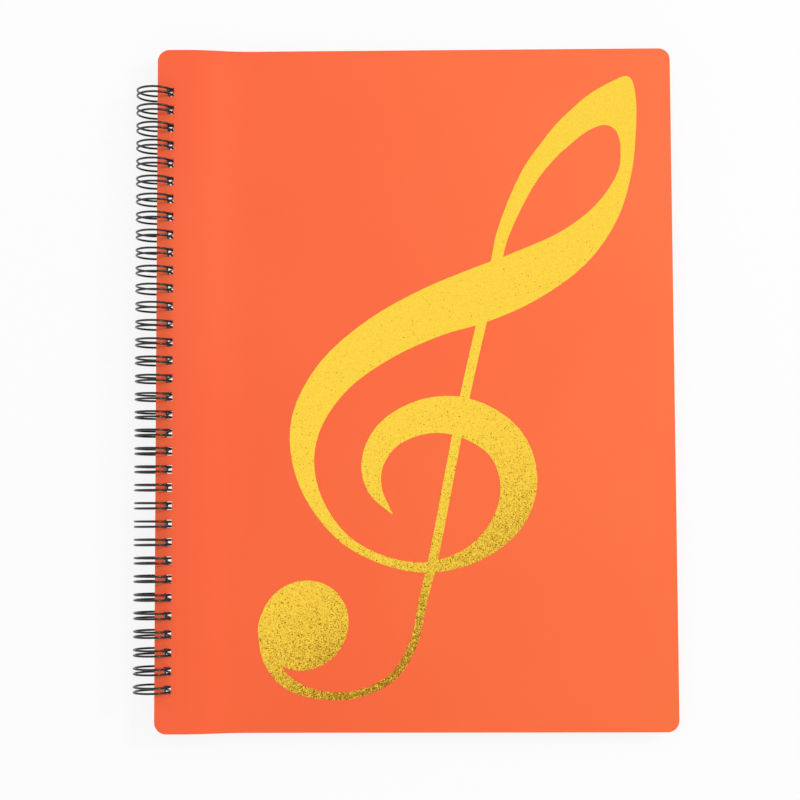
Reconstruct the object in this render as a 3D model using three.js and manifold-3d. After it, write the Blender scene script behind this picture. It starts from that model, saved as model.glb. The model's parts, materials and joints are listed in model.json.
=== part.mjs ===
// A wire-bound music folder: two orange plastic covers, a block of clear sleeves for A4 sheets,
// a gold foil clef on the front cover, and one black twin-loop wire that binds them all.
// Sizes are in millimetres and +Z is up. The folder lies closed on its back cover, with its spine
// towards -X and the head of the page towards +Y. The origin is under the middle of the folder.
import * as THREE from "three";
import { mergeGeometries, mergeVertices } from "three/addons/utils/BufferGeometryUtils.js";
import Module from "manifold-3d";

const wasm = await Module();
wasm.setup();

// Covers
const coverWidth = 242;
const coverHeight = 320;
const coverThickness = 0.7;
const coverCornerRadius = 5.5;

// Sleeves
const sleeveCount = 20;
const sleeveThickness = 0.3;
const sleeveInset = 5; // from the covers' head, tail and fore edge to the sleeves'
const weldNotchDepth = 0.8; // how far the air between two sleeves reaches in from the fore edge
const weldNotchHeight = 0.12;
const leafGap = 0.1; // air between a cover and the sleeves

// Twin-loop wire
const wireDiameter = 1;
const loopPitch = 25.4 / 3; // three loops to the inch
const loopEndRoom = 18; // least distance from a cover's head or tail to the middle of a loop
const legSpacing = 2.5; // between the two wires of one loop
const ringSpare = 8.4; // room inside a ring beyond what the leaves fill
const rootBendRadius = 1.2; // where a loop's wire turns into the bar to the next loop

// Punched holes
const holeClearance = 0.2; // to the wire, along the leaf
const holeSideClearance = 0.25; // to the wire, across the leaf
const holeEdgeMargin = 4.2; // plastic between the spine edge and a hole

// Rise of the leaves at the spine, where the wire passes under the back cover
const spineRise = 4;
const stripWidth = 9.5; // the punched strip, which stays level
const riseLength = 37; // the S-shaped slope beside the strip

// Foil
const foilThickness = 0.1;

// Facets
const legStep = THREE.MathUtils.degToRad(28);
const legSteps = 12;
const stepsBeforeLeft = 4; // steps from a loop's root to its point furthest from the covers
const wireSides = 5;
const hairpinSteps = 3;
const cornerSegments = 4;
const slopeSegments = 8;
const strokeSamplesPerPoint = 4;
const ballSegments = 32;

// Fits worked out from the sizes above
const wireRadius = wireDiameter / 2;
const blockThickness = sleeveCount * sleeveThickness;
const stackThickness = 2 * coverThickness + 2 * leafGap + blockThickness;
const ringRadius = (stackThickness + ringSpare + wireDiameter) / 2; // to the middle of the wire
const ringOuterRadius = ringRadius + wireRadius;
const ringAxisHeight = ringOuterRadius;
const loopCount = Math.floor((coverHeight - 2 * loopEndRoom) / loopPitch) + 1;

const blockBottom = coverThickness + leafGap;
const frontCoverBottom = blockBottom + blockThickness + leafGap;
const frontCoverTop = frontCoverBottom + coverThickness;

// A hole reaches from inside the flattest part of the ring to outside its corners,
// at the heights where the ring runs through the leaves.
const ringInnerReach = ringRadius * Math.cos(legStep / 2) - wireRadius - holeClearance;
const leafDrop = ringAxisHeight - spineRise; // from the ring's axis down to the back cover's underside
const leafClimb = stackThickness - leafDrop; // from the ring's axis up to the front cover's top
const holeInner = Math.sqrt(ringInnerReach ** 2 - Math.max(leafDrop, leafClimb) ** 2);
const holeOuter = ringOuterRadius + holeClearance;
const holeLength = holeOuter - holeInner;
const holeWidth = legSpacing + wireDiameter + 2 * holeSideClearance;

const spineToAxis = holeInner - holeEdgeMargin;
const totalWidth = ringOuterRadius + spineToAxis + coverWidth;
const ringAxisX = ringOuterRadius - totalWidth / 2;
const spineX = ringAxisX + spineToAxis;

const loopCentres = Array.from({ length: loopCount }, (_, i) => (i - (loopCount - 1) / 2) * loopPitch);

// The clef, drawn with two pen strokes, the upper loop's pointed top and a ball. Each point is its
// distance from the spine edge, its height above the cover's tail and, in a stroke, its width there.
// The bowl starts down the right side of the upper loop, crosses the stem and winds in.
const bowlStroke = [
  [221.7, 275, 7],
  [220.3, 261.5, 6.2],
  [211.2, 241.9, 12.2],
  [195.1, 224.9, 19.4],
  [172, 211.5, 24.8],
  [150, 202.5, 26],
  [130, 195.5, 23.7],
  [105, 183, 21.2],
  [83, 165.5, 18.3],
  [70.3, 144.5, 14.8],
  [68.5, 125, 10.2],
  [74.3, 106.5, 6.8],
  [88, 89, 4.5],
  [107.5, 78.8, 4],
  [127, 76, 5],
  [148, 82.3, 8.2],
  [164, 97.5, 14],
  [169, 116, 17.4],
  [162.5, 134, 18.7],
  [144, 145.5, 18.5],
  [125.5, 146.2, 16.3],
  [108, 137.5, 13.4],
  [100.7, 124, 10.3],
  [102, 112, 6.6],
  [110, 100.8, 0.5],
];
// The stem runs from the upper loop's left side down through the bowl and hooks round to the ball.
const stemStroke = [
  [189.3, 277.5, 10.5],
  [175.5, 260, 8.5],
  [162.5, 232, 6],
  [159.4, 219.5, 5.1],
  [144, 155, 4.6],
  [129, 80, 4.4],
  [124.3, 61.3, 4],
  [119.5, 40.7, 3.8],
  [110, 25.6, 3.5],
  [94.5, 18, 3.5],
  [78.5, 17, 3.8],
  [64.5, 21, 5.3],
  [57, 27, 6],
  [53, 36, 8],
  [51.5, 45, 8],
];
// The loop's top, up its outside to the point and down the right, and then back round its eye.
const loopTopOutside = [
  [181.8, 276.3],
  [187.5, 283.4],
  [194, 289.9],
  [203.5, 298],
  [215, 304.5],
  [221.5, 306.8],
  [223.9, 304.9],
  [225.5, 298],
  [225.9, 288],
  [224.8, 270.7],
];
const loopTopEye = [
  [218.4, 270.7],
  [218, 275],
  [216, 280.7],
  [211.4, 283.4],
  [203.3, 280.9],
  [190, 270.4],
];
const ballCentre = [68.8, 49.3];
const ballLongDiameter = 43;
const ballShortDiameter = 40;
const ballTilt = Math.PI / 4; // of the long diameter, up towards the fore edge

function toSolid(geometry) {
  const bare = geometry.clone();
  bare.deleteAttribute("normal");
  bare.deleteAttribute("uv");
  const merged = mergeVertices(bare, 1e-5);
  return new wasm.Manifold(new wasm.Mesh({
    numProp: 3,
    vertProperties: Float32Array.from(merged.attributes.position.array),
    triVerts: Uint32Array.from(merged.index.array),
  }));
}

function toGeometry(solid) {
  const mesh = solid.getMesh();
  const geometry = new THREE.BufferGeometry();
  geometry.setAttribute("position", new THREE.BufferAttribute(Float32Array.from(mesh.vertProperties), 3));
  geometry.setIndex(new THREE.BufferAttribute(Uint32Array.from(mesh.triVerts), 1));
  geometry.computeVertexNormals();
  return geometry;
}

// The section of a leaf or block across the spine. It is level in the punched strip, slopes down
// in an S and lies flat from there on. Its top keeps the curve of its underside.
function leafSection(bottom, thickness, width, foreEdge) {
  const slopeStart = spineX + stripWidth;
  const slopeEnd = slopeStart + riseLength;
  const slopeMiddle = (slopeStart + slopeEnd) / 2;
  const top = bottom + thickness;
  const section = new THREE.Shape();
  section.moveTo(spineX, bottom + spineRise);
  section.lineTo(slopeStart, bottom + spineRise);
  section.bezierCurveTo(slopeMiddle, bottom + spineRise, slopeMiddle, bottom, slopeEnd, bottom);
  section.lineTo(spineX + width, bottom);
  for (const [x, z] of foreEdge) {
    section.lineTo(x, z);
  }
  section.lineTo(spineX + width, top);
  section.lineTo(slopeEnd, top);
  section.bezierCurveTo(slopeMiddle, top, slopeMiddle, top + spineRise, slopeStart, top + spineRise);
  section.lineTo(spineX, top + spineRise);
  section.closePath();
  return section;
}

function sweepSection(section, length) {
  const options = { depth: length, bevelEnabled: false, curveSegments: slopeSegments };
  const geometry = new THREE.ExtrudeGeometry(section, options);
  geometry.rotateX(Math.PI / 2);
  geometry.translate(0, length / 2, 0);
  return toSolid(geometry);
}

// The outline of a cover seen from above, with its four rounded corners, as a tall block.
function coverOutline() {
  const left = spineX;
  const right = spineX + coverWidth;
  const half = coverHeight / 2;
  const r = coverCornerRadius;
  const outline = new THREE.Shape();
  outline.moveTo(left + r, -half);
  outline.lineTo(right - r, -half);
  outline.absarc(right - r, -half + r, r, -Math.PI / 2, 0, false);
  outline.lineTo(right, half - r);
  outline.absarc(right - r, half - r, r, 0, Math.PI / 2, false);
  outline.lineTo(left + r, half);
  outline.absarc(left + r, half - r, r, Math.PI / 2, Math.PI, false);
  outline.lineTo(left, -half + r);
  outline.absarc(left + r, -half + r, r, Math.PI, 1.5 * Math.PI, false);
  const height = 2 * (stackThickness + spineRise);
  const options = { depth: height, bevelEnabled: false, curveSegments: cornerSegments };
  const geometry = new THREE.ExtrudeGeometry(outline, options);
  geometry.translate(0, 0, -height / 4);
  return toSolid(geometry);
}

// One punch for every loop of the wire, through all the leaves.
function holePunches() {
  const height = 2 * (stackThickness + spineRise);
  const middle = ringAxisX + (holeInner + holeOuter) / 2;
  const punches = loopCentres.map((y) => {
    const punch = new THREE.BoxGeometry(holeLength, holeWidth, height);
    punch.translate(middle, y, height / 4);
    return punch;
  });
  return toSolid(mergeGeometries(punches));
}

const punches = holePunches();

function coverGeometry(bottom) {
  const sheet = sweepSection(leafSection(bottom, coverThickness, coverWidth, []), coverHeight);
  return toGeometry(sheet.intersect(coverOutline()).subtract(punches));
}

// The sleeves' fore edge, where a notch shows the air between each sleeve and the next.
function sleeveForeEdge(foreX) {
  const points = [];
  for (let i = 1; i < sleeveCount; i += 1) {
    const z = blockBottom + i * sleeveThickness;
    const low = z - weldNotchHeight / 2;
    const high = z + weldNotchHeight / 2;
    const inner = foreX - weldNotchDepth;
    points.push([foreX, low], [inner, low], [inner, high], [foreX, high]);
  }
  return points;
}

function sleeveBlockGeometry() {
  const width = coverWidth - sleeveInset;
  const foreEdge = sleeveForeEdge(spineX + width);
  const section = leafSection(blockBottom, blockThickness, width, foreEdge);
  return toGeometry(sweepSection(section, coverHeight - 2 * sleeveInset).subtract(punches));
}

// A point on the ring's cylinder, and the direction away from the ring's axis there.
function ringPoint(angle, y) {
  const outward = new THREE.Vector3(Math.cos(angle), 0, Math.sin(angle));
  const point = new THREE.Vector3(ringAxisX, y, ringAxisHeight).addScaledVector(outward, ringRadius);
  return { point, outward };
}

// The whole wire from end to end. Each loop goes from its root round the far side, over the top
// and down through the leaves, turns back in a hairpin under them, and returns to its root.
// A bar behind the back cover carries the wire on to the next loop.
function wireRoute() {
  const rootAngle = legStep * stepsBeforeLeft - Math.PI;
  const tipAngle = rootAngle - legStep * legSteps;
  const barAngle = rootAngle + rootBendRadius / ringRadius;
  const halfSpacing = legSpacing / 2;
  const route = [];
  loopCentres.forEach((centre, loop) => {
    if (loop > 0) {
      route.push(ringPoint(barAngle, centre - halfSpacing - rootBendRadius));
    }
    for (let step = 0; step <= legSteps; step += 1) {
      route.push(ringPoint(rootAngle - legStep * step, centre - halfSpacing));
    }
    for (let step = 1; step < hairpinSteps; step += 1) {
      const turn = Math.PI * (step / hairpinSteps - 1 / 2);
      const reach = halfSpacing * Math.cos(turn) / ringRadius;
      route.push(ringPoint(tipAngle - reach, centre + halfSpacing * Math.sin(turn)));
    }
    for (let step = legSteps; step >= 0; step -= 1) {
      route.push(ringPoint(rootAngle - legStep * step, centre + halfSpacing));
    }
    if (loop < loopCount - 1) {
      route.push(ringPoint(barAngle, centre + halfSpacing + rootBendRadius));
    }
  });
  return route;
}

// A round wire along a route, with a corner of its section always facing away from the ring's axis.
function wireGeometry() {
  const route = wireRoute();
  const last = route.length - 1;
  const positions = [];
  const triangles = [];
  route.forEach(({ point, outward }, i) => {
    const before = route[Math.max(i - 1, 0)].point;
    const after = route[Math.min(i + 1, last)].point;
    const along = after.clone().sub(before).normalize();
    const up = outward.clone().addScaledVector(along, -outward.dot(along)).normalize();
    const side = along.clone().cross(up);
    for (let k = 0; k < wireSides; k += 1) {
      const turn = 2 * Math.PI * k / wireSides;
      const corner = point.clone();
      corner.addScaledVector(up, wireRadius * Math.cos(turn));
      corner.addScaledVector(side, wireRadius * Math.sin(turn));
      positions.push(corner.x, corner.y, corner.z);
    }
  });
  for (let i = 0; i < last; i += 1) {
    for (let k = 0; k < wireSides; k += 1) {
      const next = (k + 1) % wireSides;
      const a = i * wireSides + k;
      const b = i * wireSides + next;
      const c = a + wireSides;
      const d = b + wireSides;
      triangles.push(a, b, c, b, d, c);
    }
  }
  for (let k = 1; k < wireSides - 1; k += 1) {
    const end = last * wireSides;
    triangles.push(0, k + 1, k, end, end + k, end + k + 1);
  }
  const geometry = new THREE.BufferGeometry();
  geometry.setAttribute("position", new THREE.Float32BufferAttribute(positions, 3));
  geometry.setIndex(triangles);
  geometry.computeVertexNormals();
  return geometry;
}

// A smooth line through points, which carries half the width of a stroke as its third coordinate.
function smoothLine(points) {
  const nodes = points.map(([x, y, width = 0]) => new THREE.Vector3(x, y, width / 2));
  return new THREE.CatmullRomCurve3(nodes, false, "centripetal");
}

// The flat shape of a pen stroke: a smooth line through its points, as wide as each of them says.
function strokeShape(points) {
  const line = smoothLine(points);
  const count = (points.length - 1) * strokeSamplesPerPoint;
  const left = [];
  const right = [];
  for (let i = 0; i <= count; i += 1) {
    const place = line.getPoint(i / count);
    const along = line.getTangent(i / count);
    const across = new THREE.Vector2(-along.y, along.x).normalize();
    const middle = new THREE.Vector2(place.x, place.y);
    left.push(middle.clone().addScaledVector(across, place.z));
    right.push(middle.clone().addScaledVector(across, -place.z));
  }
  return new THREE.Shape(left.concat(right.reverse()));
}

// The flat shape between two smooth lines, the second of which starts where the first one ends.
function loopTopShape() {
  const places = [loopTopOutside, loopTopEye].flatMap((points) => {
    return smoothLine(points).getPoints((points.length - 1) * strokeSamplesPerPoint);
  });
  return new THREE.Shape(places.map(({ x, y }) => new THREE.Vector2(x, y)));
}

function foilPiece(shape) {
  const options = { depth: foilThickness, bevelEnabled: false, curveSegments: ballSegments };
  return toSolid(new THREE.ExtrudeGeometry(shape, options));
}

function foilGeometry() {
  const ball = new THREE.Shape();
  const [x, y] = ballCentre;
  ball.absellipse(x, y, ballLongDiameter / 2, ballShortDiameter / 2, 0, 2 * Math.PI, false, ballTilt);
  const outlines = [strokeShape(bowlStroke), strokeShape(stemStroke), loopTopShape(), ball];
  const clef = outlines.map(foilPiece).reduce((joined, outline) => joined.add(outline));
  const geometry = toGeometry(clef);
  geometry.translate(spineX, -coverHeight / 2, frontCoverTop);
  return geometry;
}

const coverPlastic = new THREE.MeshStandardMaterial({ color: 0xff6e43, roughness: 0.55, metalness: 0 });
const foilGold = new THREE.MeshStandardMaterial({ color: 0xf0c24a, roughness: 0.35, metalness: 1 });
const sleeveFilm = new THREE.MeshStandardMaterial({ color: 0xeef3f4, roughness: 0.2, metalness: 0 });
const wireCoating = new THREE.MeshStandardMaterial({ color: 0x121212, roughness: 0.35, metalness: 0.3 });

function piece(name, geometry, material) {
  const mesh = new THREE.Mesh(geometry, material);
  mesh.name = name;
  return mesh;
}

const folder = new THREE.Group();
const frontLeaf = new THREE.Group();
frontLeaf.add(piece("front_cover", coverGeometry(frontCoverBottom), coverPlastic));
frontLeaf.add(piece("clef_foil", foilGeometry(), foilGold));
folder.add(frontLeaf);
folder.add(piece("sleeve_block", sleeveBlockGeometry(), sleeveFilm));
folder.add(piece("back_cover", coverGeometry(0), coverPlastic));
folder.add(piece("twin_loop_wire", wireGeometry(), wireCoating));

export default folder;
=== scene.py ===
# %% [markdown]
# # A wire-bound music folder
#
# This notebook dresses the measured model of a music folder. The model comes in as a fixed
# frame of plain solids. Each step looks at one piece of the real folder, says how it is made,
# and builds it finer around its solid: plastic sheets with rounded edges, thin clear sleeves,
# one long bent wire, and a stamped gold clef.

# %% Load the frame
import json
import math
import random

import bmesh
import bpy
from mathutils import Euler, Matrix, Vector


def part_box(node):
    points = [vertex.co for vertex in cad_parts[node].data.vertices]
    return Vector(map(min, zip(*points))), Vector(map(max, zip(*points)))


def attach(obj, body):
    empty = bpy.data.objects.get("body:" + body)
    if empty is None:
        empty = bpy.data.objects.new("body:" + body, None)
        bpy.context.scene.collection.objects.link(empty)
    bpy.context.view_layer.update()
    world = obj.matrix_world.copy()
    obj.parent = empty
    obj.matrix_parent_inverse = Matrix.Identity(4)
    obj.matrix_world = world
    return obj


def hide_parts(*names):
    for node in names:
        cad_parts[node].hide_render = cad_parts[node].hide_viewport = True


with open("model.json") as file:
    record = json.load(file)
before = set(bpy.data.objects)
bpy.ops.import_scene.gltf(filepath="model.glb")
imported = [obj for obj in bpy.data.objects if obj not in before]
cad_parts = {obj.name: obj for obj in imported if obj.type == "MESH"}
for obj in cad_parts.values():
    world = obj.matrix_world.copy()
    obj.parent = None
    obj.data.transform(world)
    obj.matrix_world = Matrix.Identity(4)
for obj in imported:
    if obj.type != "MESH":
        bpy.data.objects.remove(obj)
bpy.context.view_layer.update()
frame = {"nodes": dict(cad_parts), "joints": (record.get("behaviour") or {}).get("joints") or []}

# %% [markdown]
# ## Sizes
#
# Blender works in metres. Most places come straight from the frame: a cover's box gives its
# outline, and the hinge's place is the middle of the rings. What a box can't tell, such as the
# thickness of a sheet inside its curved outline, is named here once, in millimetres. The rings are
# as large as the frame's box lets a round wire be.

# %% Name the sizes
MM = 0.001
COVER_THICKNESS = 0.7 * MM
COVER_CORNER = 5.5 * MM
COVER_EDGE_ROUNDING = 0.14 * MM
SLEEVE_COUNT = 20
SLEEVE_FILM = 0.22 * MM
SLEEVE_CORNER = 1.0 * MM
STRIP_WIDTH = 9.5 * MM
SLOPE_LENGTH = 37 * MM
HOLE_MARGIN = 4.2 * MM
HOLE_CLEARANCE = 0.2 * MM
HOLE_SIDE_CLEARANCE = 0.25 * MM
LOOP_PITCH = 25.4 / 3 * MM
WIRE_RADIUS = 0.5 * MM
LEG_SPACING = 2.5 * MM
ROOT_BEND = 1.2 * MM

cover_low, cover_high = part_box("front_cover")
back_low, back_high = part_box("back_cover")
block_low, block_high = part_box("sleeve_block")
wire_low, wire_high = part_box("twin_loop_wire")
ring_axis = Vector(frame["joints"][0]["pos_m"])
ring_radius = min(ring_axis.z - wire_low.z, wire_high.z - ring_axis.z) - WIRE_RADIUS
spine_x = cover_low.x
spine_rise = cover_high.z - cover_low.z - COVER_THICKNESS
loop_span = wire_high.y - wire_low.y - LEG_SPACING - 2 * WIRE_RADIUS
loop_count = round(loop_span / LOOP_PITCH) + 1
loop_centres = [(i - (loop_count - 1) / 2) * LOOP_PITCH for i in range(loop_count)]
hole_inner = spine_x + HOLE_MARGIN
hole_outer = ring_axis.x + ring_radius + WIRE_RADIUS + HOLE_CLEARANCE
hole_half_width = LEG_SPACING / 2 + WIRE_RADIUS + HOLE_SIDE_CLEARANCE
print(loop_count, "loops on rings of", round(ring_radius / MM, 2), "mm radius")

# %% [markdown]
# ## Small helpers
#
# Every new piece ends the same way: its bmesh becomes a mesh, the mesh gets an object at the
# origin, the object gets its material and its body, and the frame's solid that it replaces is
# hidden. The materials share a few steps too. Patterns lie in the object's own coordinates, so that
# they are as large on a small piece as on a large one.

# %% Turn a bmesh into a finished piece
def finish_piece(name, bm, material, body, replaced):
    bmesh.ops.recalc_face_normals(bm, faces=bm.faces)
    mesh = bpy.data.meshes.new(name)
    bm.to_mesh(mesh)
    bm.free()
    mesh.materials.append(material)
    piece = bpy.data.objects.new(name, mesh)
    bpy.context.scene.collection.objects.link(piece)
    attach(piece, body)
    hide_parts(replaced)
    print(name, "has", len(mesh.polygons), "faces")


print("pieces can be finished")


# %% Name the steps that materials share
def new_material(name):
    material = bpy.data.materials.new(name)
    material.use_nodes = True
    nodes = material.node_tree.nodes
    return material, nodes, material.node_tree.links, nodes["Principled BSDF"]


def object_coordinates(nodes, links, scale):
    coordinates = nodes.new("ShaderNodeTexCoord")
    mapping = nodes.new("ShaderNodeMapping")
    mapping.inputs["Scale"].default_value = (scale, scale, scale)
    links.new(coordinates.outputs["Object"], mapping.inputs["Vector"])
    return mapping.outputs["Vector"]


def pattern(nodes, links, kind, per_metre):
    texture = nodes.new(kind)
    texture.inputs["Scale"].default_value = 1.0
    links.new(object_coordinates(nodes, links, per_metre), texture.inputs["Vector"])
    return texture


def parts_of(nodes, links, vector):
    split = nodes.new("ShaderNodeSeparateXYZ")
    links.new(vector, split.inputs[0])
    return split.outputs


def calculate(nodes, links, operation, *values):
    step = nodes.new("ShaderNodeMath")
    step.operation = operation
    for socket, value in zip(step.inputs, values):
        if isinstance(value, float):
            socket.default_value = value
        else:
            links.new(value, socket)
    return step.outputs[0]


def mixed_colours(nodes, links, share, first, second):
    mix = nodes.new("ShaderNodeMix")
    mix.data_type = "RGBA"
    sockets = [socket for socket in mix.inputs if socket.type == "RGBA"]
    for socket, colour in zip(sockets, (first, second)):
        socket.default_value = colour
    links.new(share, mix.inputs["Factor"])
    return next(socket for socket in mix.outputs if socket.type == "RGBA")


def bumps(nodes, links, height, strength, depth):
    bump = nodes.new("ShaderNodeBump")
    bump.inputs["Strength"].default_value = strength
    bump.inputs["Distance"].default_value = depth
    links.new(height, bump.inputs["Height"])
    return bump


print("materials can be made")

# %% [markdown]
# ## Satin orange plastic
#
# The covers are polypropylene sheet. Its surface is pressed with a fine grain that breaks up
# reflections, so it looks satin. A small noise in the bump makes that grain. A much larger one
# lets the colour drift a little, as pigment in a sheet does. On top of that the colour is painted
# paler towards the fore edge. That is painted light, as if a lamp lit that side more.

# %% Make the cover plastic
COVER_ORANGE = (1.0, 0.158, 0.036, 1.0)
COVER_ORANGE_DEEP = (1.0, 0.118, 0.026, 1.0)
GRAIN_PER_METRE = 1600
GRAIN_DETAIL = 3.0
GRAIN_STRENGTH = 0.25
GRAIN_DEPTH = 0.05 * MM
DRIFT_PER_METRE = 9
# How quickly the colour is painted paler towards the fore edge, as painted light from that side.
PAINTED_LIGHT_PER_METRE = 4


def cover_plastic():
    material, nodes, links, shader = new_material("cover_plastic")
    drift = pattern(nodes, links, "ShaderNodeTexNoise", DRIFT_PER_METRE)
    # The paler colour towards the fore edge is painted light. Only the large noise is the pigment's
    # own drift.
    across = parts_of(nodes, links, object_coordinates(nodes, links, PAINTED_LIGHT_PER_METRE))
    drift_and_painted_light = calculate(nodes, links, "ADD", drift.outputs["Fac"], across["X"])
    orange = mixed_colours(nodes, links, drift_and_painted_light, COVER_ORANGE_DEEP, COVER_ORANGE)
    links.new(orange, shader.inputs["Base Color"])
    grain = pattern(nodes, links, "ShaderNodeTexNoise", GRAIN_PER_METRE)
    grain.inputs["Detail"].default_value = GRAIN_DETAIL
    bump = bumps(nodes, links, grain.outputs["Fac"], GRAIN_STRENGTH, GRAIN_DEPTH)
    links.new(bump.outputs["Normal"], shader.inputs["Normal"])
    shader.inputs["Roughness"].default_value = 0.48
    shader.inputs["IOR"].default_value = 1.49
    return material


plastic = cover_plastic()
print("made", plastic.name)

# %% [markdown]
# ## A punched sheet
#
# Covers and sleeves have one shape at different sizes: a sheet with rounded corners, a row of
# punched holes, and an S-shaped rise to the spine, where the wire passes below. One flat face is
# cut with planes, so that the holes and the slope get edges where they need them. The hole faces
# are deleted, the points are lifted along the slope, and the sheet is extruded to its thickness.

# %% Shape a punched sheet
SLOPE_CUTS = 24
CORNER_SEGMENTS = 12
CUT_TOLERANCE = 1e-7


def slope_place(t):
    start = spine_x + STRIP_WIDTH
    middle = start + SLOPE_LENGTH / 2
    end = start + SLOPE_LENGTH
    x = start * (1 - t) ** 3 + 3 * middle * t * (1 - t) + end * t**3
    return x, spine_rise * (1 - t) ** 2 * (1 + 2 * t)


slope_table = [slope_place(i / SLOPE_CUTS) for i in range(SLOPE_CUTS + 1)]


def rise_at(x):
    for (x_low, rise_low), (x_high, rise_high) in zip(slope_table, slope_table[1:]):
        if x <= x_high:
            share = max(0.0, (x - x_low) / (x_high - x_low))
            return rise_low + share * (rise_high - rise_low)
    return 0.0


def cut(bm, faces, place, direction):
    geometry = set(faces)
    for face in faces:
        geometry.update(face.edges)
        geometry.update(face.verts)
    bmesh.ops.bisect_plane(
        bm, geom=list(geometry), plane_co=place, plane_no=direction, dist=CUT_TOLERANCE)


def rounded_sheet(low, high, corner):
    bm = bmesh.new()
    bmesh.ops.create_grid(bm, x_segments=1, y_segments=1, size=0.5)
    bmesh.ops.scale(bm, vec=(high[0] - low[0], high[1] - low[1], 1), verts=bm.verts)
    middle = ((low[0] + high[0]) / 2, (low[1] + high[1]) / 2, 0)
    bmesh.ops.translate(bm, vec=middle, verts=bm.verts)
    bmesh.ops.bevel(
        bm, geom=bm.verts[:], affect="VERTICES", offset=corner, segments=CORNER_SEGMENTS,
        profile=0.5, material=-1)
    return bm


def between_hole_ends(face):
    return hole_inner < face.calc_center_median().x < hole_outer


def inside_a_hole(face):
    y = face.calc_center_median().y
    beside_a_centre = any(abs(y - centre) < hole_half_width for centre in loop_centres)
    return between_hole_ends(face) and beside_a_centre


def punched_sheet(low, high, underside, thickness, corner):
    bm = rounded_sheet(low, high, corner)
    for x in [hole_inner, hole_outer] + [place[0] for place in slope_table]:
        cut(bm, bm.faces[:], (x, 0, 0), (1, 0, 0))
    for centre in loop_centres:
        for y in (centre - hole_half_width, centre + hole_half_width):
            cut(bm, [face for face in bm.faces if between_hole_ends(face)], (0, y, 0), (0, 1, 0))
    bmesh.ops.delete(bm, geom=[face for face in bm.faces if inside_a_hole(face)], context="FACES")
    for vert in bm.verts:
        vert.co.z = underside + rise_at(vert.co.x)
    lifted = bmesh.ops.extrude_face_region(bm, geom=bm.faces[:])["geom"]
    top = [part for part in lifted if isinstance(part, bmesh.types.BMVert)]
    bmesh.ops.translate(bm, vec=(0, 0, thickness), verts=top)
    bmesh.ops.recalc_face_normals(bm, faces=bm.faces)
    return bm


print("the slope is cut into", SLOPE_CUTS, "strips")

# %% [markdown]
# ## The covers
#
# A cover is cut with a die, which leaves its edge a touch rounded rather than razor sharp. That
# small rounding catches a thin line of light all along the rim and round each hole.

# %% Build both covers
SHARP_ANGLE = math.radians(60)
EDGE_SEGMENTS = 2


def round_edges(bm, width):
    sharp = [
        edge for edge in bm.edges
        if len(edge.link_faces) == 2 and edge.calc_face_angle() > SHARP_ANGLE]
    bmesh.ops.bevel(
        bm, geom=sharp, affect="EDGES", offset=width, segments=EDGE_SEGMENTS,
        profile=0.5, material=-1)


def cover(name, body, replaced, low, high):
    bm = punched_sheet(low, high, low.z, COVER_THICKNESS, COVER_CORNER)
    round_edges(bm, COVER_EDGE_ROUNDING)
    finish_piece(name, bm, plastic, body, replaced)


cover("front_cover_sheet", "front", "front_cover", cover_low, cover_high)
cover("back_cover_sheet", "back_and_wire", "back_cover", back_low, back_high)

# %% [markdown]
# ## Clear sleeves
#
# A sleeve is a flat pocket of thin clear film. One alone is nearly invisible, but twenty together
# look milky. A partly see-through shader with a soft gloss on top does that at little cost, where
# true glass would have to bend light forty times. Each sleeve is its own sheet, so its edge shows.
# The two films of a pocket are welded along the punched strip, the tail and the fore edge, and a
# hatched weld looks whiter than the clear film beside it. A slow noise in the bump ripples the film.

# %% Make the film
FILM_WHITE = (0.94, 0.955, 0.965, 1.0)
WELD_HALF_WIDTH = 0.7 * MM
WELD_INSET = 2.2 * MM
HATCHES_PER_METRE = 900
HATCH_STRENGTH = 0.8
HATCH_DEPTH = 0.15 * MM
RIPPLES_PER_METRE = 14
RIPPLE_STRENGTH = 0.6
RIPPLE_DEPTH = 1.5 * MM
FILM_ALPHA = 0.36
WELD_ALPHA = 0.62


def spread(nodes, links, value, low, high):
    spreading = nodes.new("ShaderNodeMapRange")
    spreading.inputs["To Min"].default_value = low
    spreading.inputs["To Max"].default_value = high
    links.new(value, spreading.inputs["Value"])
    return spreading


def weld_mask(nodes, links):
    place = parts_of(nodes, links, object_coordinates(nodes, links, 1.0))
    welds = (
        (place["X"], hole_outer + WELD_INSET),
        (place["X"], block_high.x - WELD_INSET),
        (place["Y"], block_low.y + WELD_INSET))
    lines = [
        calculate(nodes, links, "COMPARE", value, middle, WELD_HALF_WIDTH)
        for value, middle in welds]
    mask = lines[0]
    for line in lines[1:]:
        mask = calculate(nodes, links, "MAXIMUM", mask, line)
    return mask


def clear_film():
    material, nodes, links, shader = new_material("clear_film")
    shader.inputs["Base Color"].default_value = FILM_WHITE
    shader.inputs["Roughness"].default_value = 0.34
    shader.inputs["Specular IOR Level"].default_value = 0.35
    shader.inputs["IOR"].default_value = 1.49
    weld = weld_mask(nodes, links)
    alpha = spread(nodes, links, weld, FILM_ALPHA, WELD_ALPHA)
    links.new(alpha.outputs["Result"], shader.inputs["Alpha"])
    hatch = pattern(nodes, links, "ShaderNodeTexVoronoi", HATCHES_PER_METRE)
    hatch.inputs["Randomness"].default_value = 0.0
    pressed = calculate(nodes, links, "MULTIPLY", hatch.outputs["Distance"], weld)
    hatch_bump = bumps(nodes, links, pressed, HATCH_STRENGTH, HATCH_DEPTH)
    ripples = pattern(nodes, links, "ShaderNodeTexNoise", RIPPLES_PER_METRE)
    ripple_bump = bumps(nodes, links, ripples.outputs["Fac"], RIPPLE_STRENGTH, RIPPLE_DEPTH)
    links.new(hatch_bump.outputs["Normal"], ripple_bump.inputs["Normal"])
    links.new(ripple_bump.outputs["Normal"], shader.inputs["Normal"])
    return material


film = clear_film()
print("made", film.name)

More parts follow.
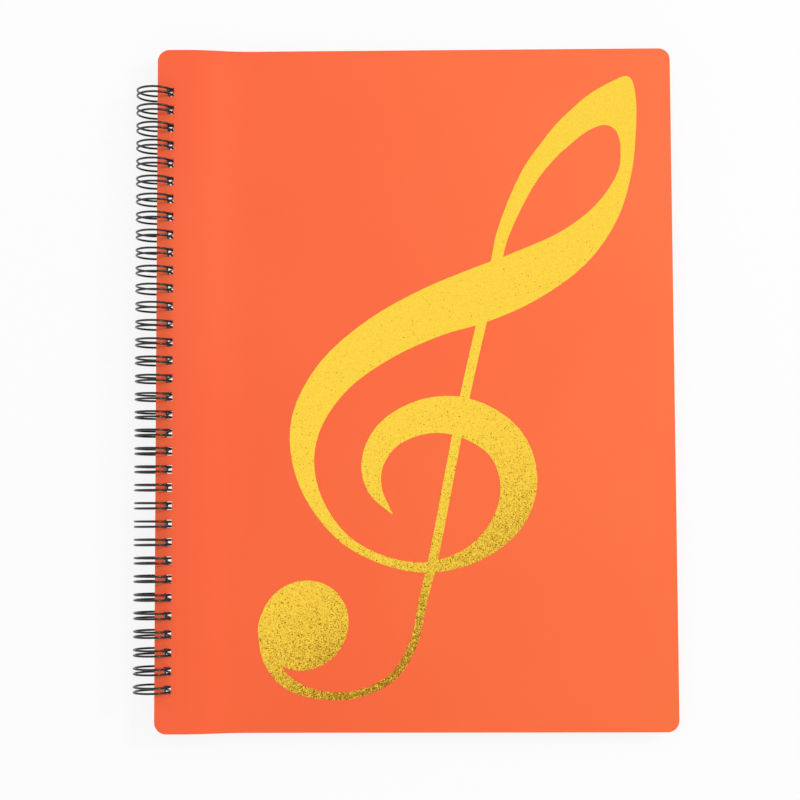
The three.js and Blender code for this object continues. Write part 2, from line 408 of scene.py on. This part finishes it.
# %% Stack the sleeves
sleeve_pitch = (block_high.z - block_low.z - spine_rise) / SLEEVE_COUNT
for number in range(SLEEVE_COUNT):
    underside = block_low.z + number * sleeve_pitch + (sleeve_pitch - SLEEVE_FILM) / 2
    sheet = punched_sheet(block_low, block_high, underside, SLEEVE_FILM, SLEEVE_CORNER)
    finish_piece(f"sleeve_{number + 1:02d}", sheet, film, "sleeves", "sleeve_block")

# %% [markdown]
# ## The twin-loop wire
#
# One steel wire, coated black, makes all the rings. A machine bends it into a flat comb of hairpins
# and then rolls the comb shut. So the wire runs out round a ring and back beside itself, and then
# along a short bar to the next ring. The two sides of a hairpin draw together towards its tip, the
# rings lean a little towards the head at their top, and no two rings are bent quite alike. A curve
# follows that route, and its bevel gives it thickness.

# %% Bend the wire
LEG_STEPS = 44
TURN_STEPS = 8
CORNER_STEPS = 4
ROOT_ANGLE = math.radians(-68)
LEG_TURN = math.radians(336)
TIP_TAPER = 0.3 * MM
RING_LEAN = 0.024
RING_SWAY = 0.045 * MM
SWAY_SEED = 34
TUBE_ROUNDNESS = 2
JOIN_TOLERANCE = 1e-6

chance = random.Random(SWAY_SEED)


def on_ring(angle, y):
    height = ring_radius * math.sin(angle)
    return (
        ring_axis.x + ring_radius * math.cos(angle),
        y + RING_LEAN * height,
        ring_axis.z + height)


def half_spacing(turned):
    share = turned / LEG_TURN
    return LEG_SPACING / 2 - TIP_TAPER * share**4


def ring_loop(centre):
    sway = chance.uniform(-RING_SWAY, RING_SWAY)
    turns = [LEG_TURN * i / LEG_STEPS for i in range(LEG_STEPS + 1)]
    middles = [centre + sway * math.sin(math.pi * turned / LEG_TURN) for turned in turns]
    lower = []
    upper = []
    for turned, middle in zip(turns, middles):
        lower.append(on_ring(ROOT_ANGLE - turned, middle - half_spacing(turned)))
        upper.append(on_ring(ROOT_ANGLE - turned, middle + half_spacing(turned)))
    tip = []
    half = half_spacing(LEG_TURN)
    for i in range(1, TURN_STEPS):
        turn = math.pi * (i / TURN_STEPS - 0.5)
        reach = half * math.cos(turn) / ring_radius
        tip.append(on_ring(ROOT_ANGLE - LEG_TURN - reach, centre + half * math.sin(turn)))
    return lower + tip + upper[::-1]


def root_corner(y, side):
    points = []
    for i in range(1, CORNER_STEPS + 1):
        turn = math.pi / 2 * i / CORNER_STEPS
        angle = ROOT_ANGLE + ROOT_BEND * math.sin(turn) / ring_radius
        points.append(on_ring(angle, y + side * ROOT_BEND * (1 - math.cos(turn))))
    return points


def wire_route():
    route = []
    for centre in loop_centres:
        if route:
            route += reversed(root_corner(centre - LEG_SPACING / 2, -1))
        route += ring_loop(centre)
        if centre != loop_centres[-1]:
            route += root_corner(centre + LEG_SPACING / 2, 1)
    return route


def tube_mesh(name, route, radius):
    curve = bpy.data.curves.new(name, "CURVE")
    curve.dimensions = "3D"
    curve.bevel_depth = radius
    curve.bevel_resolution = TUBE_ROUNDNESS
    curve.use_fill_caps = True
    spline = curve.splines.new("POLY")
    spline.points.add(len(route) - 1)
    for point, place in zip(spline.points, route):
        point.co = (*place, 1)
    holder = bpy.data.objects.new(name, curve)
    mesh = bpy.data.meshes.new_from_object(holder)
    bpy.data.objects.remove(holder)
    bpy.data.curves.remove(curve)
    bm = bmesh.new()
    bm.from_mesh(mesh)
    bpy.data.meshes.remove(mesh)
    bmesh.ops.remove_doubles(bm, verts=bm.verts, dist=JOIN_TOLERANCE)
    for face in bm.faces:
        face.smooth = True
    return bm


wire_bm = tube_mesh("bent_wire", wire_route(), WIRE_RADIUS)
print("bent the wire round", loop_count, "loops")

# %% Coat the wire
COATING_BLACK = (0.004, 0.004, 0.0045, 1.0)
WEAR_PER_METRE = 900
WEAR_STRENGTH = 0.15
WEAR_DEPTH = 0.03 * MM


def wire_coating():
    material, nodes, links, shader = new_material("wire_coating")
    shader.inputs["Base Color"].default_value = COATING_BLACK
    shader.inputs["Roughness"].default_value = 0.16
    wear = pattern(nodes, links, "ShaderNodeTexNoise", WEAR_PER_METRE)
    bump = bumps(nodes, links, wear.outputs["Fac"], WEAR_STRENGTH, WEAR_DEPTH)
    links.new(bump.outputs["Normal"], shader.inputs["Normal"])
    return material


finish_piece("bound_wire", wire_bm, wire_coating(), "back_and_wire", "twin_loop_wire")

# %% [markdown]
# ## Stamped foil
#
# Hot stamping presses a thin gold film into the grainy plastic. Each grain tilts its bit of foil a
# different way, so the gold glitters. A cell pattern gives every grain its own tilt and its own
# depth of gold, and few grains are steep. The metal shader does the rest. The foil is the measured
# clef with one change. Beside the ball its plain solid has a small step, where the pen stroke
# starts. The die cuts one smooth line there, so the ball's side swells until it meets the stroke.

# %% Stamp the clef
BALL_SIDE_X = -60 * MM
BALL_SIDE_TOP = -102 * MM
BALL_SIDE_FOOT = -115.54 * MM
BALL_SIDE_STEP = 0.76 * MM
FOIL_GOLD = (1.0, 0.72, 0.068, 1.0)
FOIL_GOLD_DEEP = (0.97, 0.6, 0.056, 1.0)
GLITTER_PER_METRE = 2500
LEAST_TILT = 0.04
MOST_TILT = 0.3
STEEP_GRAINS = 3.0


def grain_normal(nodes, links, colour, steepness):
    centred = nodes.new("ShaderNodeVectorMath")
    centred.operation = "SUBTRACT"
    centred.inputs[1].default_value = (0.5, 0.5, 0.5)
    links.new(colour, centred.inputs[0])
    flat = nodes.new("ShaderNodeCombineXYZ")
    links.new(steepness, flat.inputs["X"])
    links.new(steepness, flat.inputs["Y"])
    geometry = nodes.new("ShaderNodeNewGeometry")
    tilt = nodes.new("ShaderNodeVectorMath")
    tilt.operation = "MULTIPLY_ADD"
    links.new(centred.outputs[0], tilt.inputs[0])
    links.new(flat.outputs[0], tilt.inputs[1])
    links.new(geometry.outputs["Normal"], tilt.inputs[2])
    unit = nodes.new("ShaderNodeVectorMath")
    unit.operation = "NORMALIZE"
    links.new(tilt.outputs[0], unit.inputs[0])
    return unit.outputs[0]


def gold_foil():
    material, nodes, links, shader = new_material("gold_foil")
    shader.inputs["Metallic"].default_value = 1.0
    shader.inputs["Roughness"].default_value = 0.15
    grains = pattern(nodes, links, "ShaderNodeTexVoronoi", GLITTER_PER_METRE).outputs["Color"]
    chances = parts_of(nodes, links, grains)
    gold = mixed_colours(nodes, links, chances["X"], FOIL_GOLD, FOIL_GOLD_DEEP)
    links.new(gold, shader.inputs["Base Color"])
    rare = calculate(nodes, links, "POWER", chances["Z"], STEEP_GRAINS)
    steepness = spread(nodes, links, rare, LEAST_TILT, MOST_TILT)
    normal = grain_normal(nodes, links, grains, steepness.outputs["Result"])
    links.new(normal, shader.inputs["Normal"])
    return material


def smooth_ball_side(bm):
    moved = 0
    for vert in bm.verts:
        down = (BALL_SIDE_TOP - vert.co.y) / (BALL_SIDE_TOP - BALL_SIDE_FOOT)
        if vert.co.x < BALL_SIDE_X and 0 < down < 1:
            vert.co.x -= BALL_SIDE_STEP * down**2 * (3 - 2 * down)
            moved += 1
    return moved


foil_bm = bmesh.new()
foil_bm.from_mesh(frame["nodes"]["clef_foil"].data)
print("smoothed the ball's side at", smooth_ball_side(foil_bm), "points")
finish_piece("stamped_clef", foil_bm, gold_foil(), "front", "clef_foil")

# %% [markdown]
# ## Floor and light
#
# The folder lies on a plain white floor, which shows white to the camera and still keeps a soft
# shadow. It stands in a white room that is bright overhead and dimmer towards the horizon, and that
# shows plain white where it is seen or mirrored. Gold foil shows what it mirrors. So a brown card
# hangs above the foot of the folder, where people would stand, and darkens the grains that face it.
# A small lamp puts glints on the wire.

# %% Lay the floor
FLOOR_SIZE = (6.0, 6.0)
FLOOR_GREY = (0.9, 0.9, 0.9, 1.0)
WHITE = (1.0, 1.0, 1.0, 1.0)
WHITE_SHARE = 0.85


def seen_directly(nodes, links):
    path = nodes.new("ShaderNodeLightPath").outputs
    either = calculate(nodes, links, "MAXIMUM", path["Is Camera Ray"], path["Is Glossy Ray"])
    return calculate(nodes, links, "MAXIMUM", either, path["Is Transmission Ray"])


def floor_material():
    material, nodes, links, shader = new_material("white_floor")
    shader.inputs["Base Color"].default_value = FLOOR_GREY
    shader.inputs["Roughness"].default_value = 0.9
    white = nodes.new("ShaderNodeEmission")
    white.inputs["Color"].default_value = WHITE
    share = calculate(nodes, links, "MULTIPLY", seen_directly(nodes, links), WHITE_SHARE)
    mix = nodes.new("ShaderNodeMixShader")
    links.new(share, mix.inputs[0])
    links.new(shader.outputs[0], mix.inputs[1])
    links.new(white.outputs[0], mix.inputs[2])
    links.new(mix.outputs[0], nodes["Material Output"].inputs["Surface"])
    return material


def stage_plane(name, size, material):
    bm = bmesh.new()
    bmesh.ops.create_grid(bm, x_segments=1, y_segments=1, size=0.5)
    bmesh.ops.scale(bm, vec=(size[0], size[1], 1), verts=bm.verts)
    mesh = bpy.data.meshes.new(name)
    bm.to_mesh(mesh)
    bm.free()
    mesh.materials.append(material)
    plane = bpy.data.objects.new(name, mesh)
    bpy.context.scene.collection.objects.link(plane)
    return plane


stage_plane("floor", FLOOR_SIZE, floor_material())
print("the floor is", FLOOR_SIZE[0], "m wide")

# %% Hang the card
CARD_BROWN = (0.3, 0.13, 0.12, 1.0)
CARD_HEIGHT = 1.5
CARD_EDGE = 0.21
CARD_SIZE = (1.3, 0.55)
CARD_TURN = math.radians(30)


def card_board():
    material, _, _, shader = new_material("brown_card")
    shader.inputs["Base Color"].default_value = CARD_BROWN
    shader.inputs["Roughness"].default_value = 0.9
    return material


card = stage_plane("card", CARD_SIZE, card_board())
card_reach = CARD_EDGE + CARD_SIZE[1] / 2
card.location = (card_reach * math.sin(CARD_TURN), -card_reach * math.cos(CARD_TURN), CARD_HEIGHT)
card.rotation_euler = (0, 0, CARD_TURN)
card.visible_camera = False
print("the card hangs", CARD_HEIGHT, "m above the floor")

# %% Light the room
HORIZON_LIGHT = 0.42
HORIZON_RISE = 0.2
OVERHEAD_LIGHT = 0.99
OVERHEAD_RISE = 0.85
LAMP_PLACE = Vector((1.2, 0.5, 1.0))
LAMP_AIM = Vector((-0.1, 0.0, 0.0))
LAMP_SIDE = 0.3
LAMP_WATTS = 9


def white_room():
    world = bpy.data.worlds.new("white_room")
    world.use_nodes = True
    nodes = world.node_tree.nodes
    links = world.node_tree.links
    direction = nodes.new("ShaderNodeTexCoord").outputs["Generated"]
    rise = parts_of(nodes, links, direction)["Z"]
    light = spread(nodes, links, rise, HORIZON_LIGHT, OVERHEAD_LIGHT)
    light.inputs["From Min"].default_value = HORIZON_RISE
    light.inputs["From Max"].default_value = OVERHEAD_RISE
    seen = seen_directly(nodes, links)
    strength = calculate(nodes, links, "MAXIMUM", light.outputs["Result"], seen)
    links.new(strength, nodes["Background"].inputs["Strength"])
    nodes["Background"].inputs["Color"].default_value = WHITE
    return world


def soft_lamp(name, place, aim, side, watts):
    lamp = bpy.data.lights.new(name, "AREA")
    lamp.shape = "RECTANGLE"
    lamp.size = side
    lamp.size_y = side
    lamp.energy = watts
    holder = bpy.data.objects.new(name, lamp)
    holder.location = place
    holder.rotation_euler = (aim - place).to_track_quat("-Z", "Y").to_euler()
    bpy.context.scene.collection.objects.link(holder)


bpy.context.scene.world = white_room()
soft_lamp("glint_lamp", LAMP_PLACE, LAMP_AIM, LAMP_SIDE, LAMP_WATTS)
print("the lamp gives", LAMP_WATTS, "W")

# %% [markdown]
# ## The camera
#
# The camera looks almost straight down. Its place and its small turns were fitted to the rings and
# to the cover's edges in the photograph, so a render can be laid over it. They hardly fix the focal
# length, so that is a round value near the best fits.

# %% Place the camera
CAMERA_PLACE = (spine_x + 124.1 * MM, -45.0 * MM, 684.7 * MM)
CAMERA_TURN = (3.284, 0.885, -0.225)
SENSOR_WIDTH = 36
FOCAL_PIXELS = 1450
FRAME_PIXELS = 800

camera_data = bpy.data.cameras.new("camera")
camera_data.sensor_width = SENSOR_WIDTH
camera_data.lens = SENSOR_WIDTH * FOCAL_PIXELS / FRAME_PIXELS
camera = bpy.data.objects.new("camera", camera_data)
camera.location = CAMERA_PLACE
camera.rotation_euler = Euler([math.radians(turn) for turn in CAMERA_TURN], "XYZ")
bpy.context.scene.collection.objects.link(camera)
bpy.context.scene.camera = camera
bpy.context.scene.view_settings.view_transform = "Standard"
print("the camera stands", round(camera.location.z, 3), "m above the floor")
